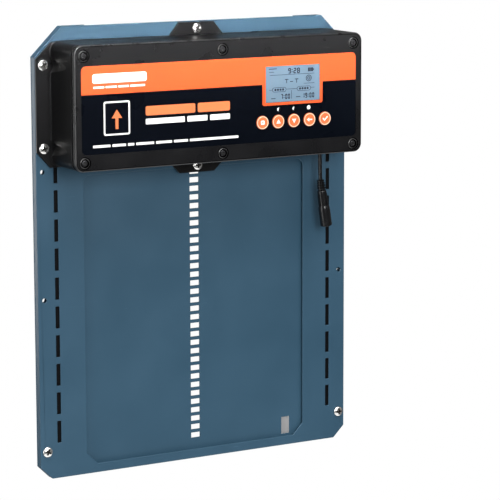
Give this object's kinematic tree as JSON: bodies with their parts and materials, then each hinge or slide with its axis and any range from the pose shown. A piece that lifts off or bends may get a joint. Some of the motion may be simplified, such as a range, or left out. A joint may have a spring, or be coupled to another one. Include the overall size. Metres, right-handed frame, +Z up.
{
  "type": "automatic coop door",
  "caption": "Wall-hung automatic poultry door: sheet metal frame, sliding door with a rack of slots, and a battery drive unit with display and keys above the doorway.",
  "frame": {"origin": "on the wall face, at the middle of the sill strip below the doorway", "axes": "+X to the right seen from the front, +Y into the wall, +Z up"},
  "size_m": [0.364, 0.071, 0.466],
  "materials": {
    "painted_sheet": "satin slate blue powder coat",
    "housing_plastic": "fine satin moulded black",
    "guide_plastic": "matt black moulded",
    "rubber": "matt black",
    "label_orange": "satin printed film, orange",
    "label_black": "satin printed film, black",
    "button_orange": "satin orange",
    "lcd_clear": "clear window",
    "lcd_grey": "blue-grey display",
    "light_pipe": "frosted",
    "nickel": "bright nickel plate",
    "black_steel": "blackened steel",
    "magnet": "bright plated",
    "steel": "bare steel",
    "bronze": "sintered bronze",
    "acetal": "natural acetal",
    "board_green": "solder-masked board",
    "battery": "printed sleeve"
  },
  "bodies": {
    "frame": {"battery_1": "battery", "battery_2": "battery", "battery_3": "battery", "battery_4": "battery", "battery_holder": "guide_plastic", "bearing_block": "guide_plastic", "control_board": "board_green", "corner_screw_left": "nickel", "corner_screw_right": "nickel", "cover_screw_left_high": "black_steel", "cover_screw_left_low": "black_steel", "cover_screw_middle_high": "black_steel", "cover_screw_middle_low": "black_steel", "cover_screw_right_high": "black_steel", "cover_screw_right_low": "black_steel", "ear_screw_left_high": "nickel", "ear_screw_left_low": "nickel", "ear_screw_right_high": "nickel", "ear_screw_right_low": "nickel", "front_cover": "housing_plastic", "front_plate": "painted_sheet", "gearbox_case": "guide_plastic", "gearbox_lid": "guide_plastic", "housing_base": "housing_plastic", "housing_gasket": "rubber", "idler_pin": "steel", "jack_body": "rubber", "jack_contact": "nickel", "jack_strain_relief": "rubber", "label_lower": "label_black", "label_upper": "label_orange", "lcd_module": "lcd_grey", "lcd_window": "lcd_clear", "lead_grommet": "rubber", "left_bush": "bronze", "left_guide": "guide_plastic", "light_sensor": "light_pipe", "lug_screw_bottom": "nickel", "lug_screw_top": "nickel", "motor": "steel", "open_position_sensor": "guide_plastic", "power_lead": "rubber", "rear_frame": "painted_sheet", "right_bush": "bronze", "right_guide": "guide_plastic", "status_led_left": "light_pipe", "status_led_right": "light_pipe"},
    "door": {"door_panel": "painted_sheet", "door_magnet": "magnet"},
    "drive": {"output_shaft": "steel", "output_gear": "acetal", "drive_pinion": "acetal"},
    "idler": {"idler_gear": "acetal"},
    "motor_drive": {"motor_pinion": "steel"},
    "settings_key": {"button_settings": "button_orange"},
    "up_key": {"button_up": "button_orange"},
    "down_key": {"button_down": "button_orange"},
    "back_key": {"button_back": "button_orange"},
    "confirm_key": {"button_confirm": "button_orange"}
  },
  "joints": [
    {"name": "door_slide", "type": "slide", "parent": "frame", "child": "door", "axis": [0, 0, 1], "range_m": [0, 0.303]},
    {"name": "drive_turn", "type": "hinge", "parent": "frame", "child": "drive", "pos_m": [0, -0.02224, 0.35802], "axis": [1, 0, 0], "range_deg": [-5, 1000]},
    {"name": "idler_turn", "type": "hinge", "parent": "frame", "child": "idler", "pos_m": [0, -0.03027, 0.36949], "axis": [1, 0, 0], "range_deg": [-1795, 5]},
    {"name": "motor_turn", "type": "hinge", "parent": "frame", "child": "motor_drive", "pos_m": [0, -0.03437, 0.38288], "axis": [1, 0, 0], "range_deg": [-10, 3225]},
    {"name": "settings_press", "type": "slide", "parent": "frame", "child": "settings_key", "axis": [0, 1, 0], "range_m": [0, 0.001], "stiffness_N_per_m": 200},
    {"name": "up_press", "type": "slide", "parent": "frame", "child": "up_key", "axis": [0, 1, 0], "range_m": [0, 0.001], "stiffness_N_per_m": 200},
    {"name": "down_press", "type": "slide", "parent": "frame", "child": "down_key", "axis": [0, 1, 0], "range_m": [0, 0.001], "stiffness_N_per_m": 200},
    {"name": "back_press", "type": "slide", "parent": "frame", "child": "back_key", "axis": [0, 1, 0], "range_m": [0, 0.001], "stiffness_N_per_m": 200},
    {"name": "confirm_press", "type": "slide", "parent": "frame", "child": "confirm_key", "axis": [0, 1, 0], "range_m": [0, 0.001], "stiffness_N_per_m": 200}
  ],
  "couplings": [
    {"joint": "drive_turn", "follows": "door_slide", "rad_per_m": 57.161},
    {"joint": "idler_turn", "follows": "door_slide", "rad_per_m": -102.89},
    {"joint": "motor_turn", "follows": "door_slide", "rad_per_m": 185.2}
  ]
}
